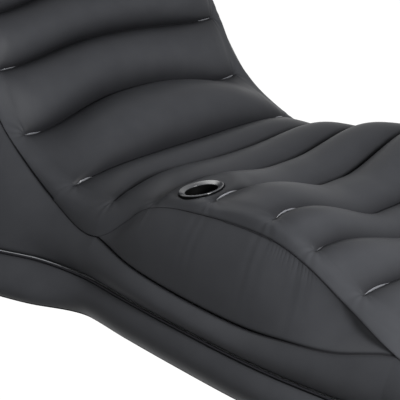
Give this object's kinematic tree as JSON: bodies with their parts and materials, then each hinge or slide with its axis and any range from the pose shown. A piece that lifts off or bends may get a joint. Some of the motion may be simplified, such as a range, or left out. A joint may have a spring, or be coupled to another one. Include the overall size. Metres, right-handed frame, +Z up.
{
  "type": "inflatable pool lounger",
  "caption": "Inflatable water lounger with a ribbed backrest and seat between raised arms, a deep base chamber, a moulded cup holder and air valves with flip caps.",
  "frame": {"origin": "on the ground under the middle of the lounger", "axes": "+X towards the feet, +Y towards the arm without the cup holder, +Z up"},
  "size_m": [2.0118, 1.2392, 0.8573],
  "materials": {
    "charcoal_vinyl": "satin charcoal PVC film, high-frequency welded",
    "natural_vinyl": "natural PVC film, smooth",
    "moulded_vinyl": "moulded soft PVC, satin",
    "valve_rubber": "soft rubber, matt"
  },
  "bodies": {
    "lounger": {"backrest_sheet": "charcoal_vinyl", "seat_sheet": "charcoal_vinyl", "arm_panel_near": "charcoal_vinyl", "arm_panel_far": "charcoal_vinyl", "side_wall_near": "charcoal_vinyl", "side_wall_far": "charcoal_vinyl", "rear_wall": "charcoal_vinyl", "foot_wall": "charcoal_vinyl", "base_wall_near": "charcoal_vinyl", "base_wall_far": "charcoal_vinyl", "bottom_sheet": "charcoal_vinyl", "chamber_divider": "charcoal_vinyl", "base_welt": "charcoal_vinyl", "web_back_0": "natural_vinyl", "web_back_1": "natural_vinyl", "web_back_2": "natural_vinyl", "web_crease": "natural_vinyl", "web_seat_1": "natural_vinyl", "web_seat_2": "natural_vinyl", "web_seat_3": "natural_vinyl", "web_seat_4": "natural_vinyl", "web_seat_5": "natural_vinyl", "web_seat_6": "natural_vinyl", "web_leg_7": "natural_vinyl", "web_leg_8": "natural_vinyl", "base_web_1": "natural_vinyl", "base_web_2": "natural_vinyl", "base_web_3": "natural_vinyl", "base_web_4": "natural_vinyl", "cup_holder": "moulded_vinyl", "upper_valve_ring": "moulded_vinyl", "upper_valve_body": "moulded_vinyl", "upper_valve_spoke": "moulded_vinyl", "base_valve_ring": "moulded_vinyl", "base_valve_body": "moulded_vinyl", "base_valve_spoke": "moulded_vinyl"},
    "upper_valve_cap": {"upper_valve_cap": "moulded_vinyl"},
    "upper_valve_flap": {"upper_valve_flap": "valve_rubber"},
    "base_valve_cap": {"base_valve_cap": "moulded_vinyl"},
    "base_valve_flap": {"base_valve_flap": "valve_rubber"}
  },
  "joints": [
    {"name": "upper_valve_cap_hinge", "type": "hinge", "parent": "lounger", "child": "upper_valve_cap", "pos_m": [-0.96942, -0.3044, 0.32976], "axis": [-0.1691, 0.9856, 0], "range_deg": [0, 135]},
    {"name": "upper_valve_flap_hinge", "type": "hinge", "parent": "lounger", "child": "upper_valve_flap", "pos_m": [-0.9477, -0.30067, 0.3242], "axis": [0.1691, -0.9856, 0], "range_deg": [0, 60], "stiffness_Nm_per_rad": 0.004},
    {"name": "base_valve_cap_hinge", "type": "hinge", "parent": "lounger", "child": "base_valve_cap", "pos_m": [-1.00229, -0.17444, 0.07056], "axis": [-0.0537, 0.9986, 0], "range_deg": [0, 135]},
    {"name": "base_valve_flap_hinge", "type": "hinge", "parent": "lounger", "child": "base_valve_flap", "pos_m": [-0.98076, -0.17329, 0.06334], "axis": [0.0537, -0.9986, 0], "range_deg": [0, 60], "stiffness_Nm_per_rad": 0.004}
  ]
}
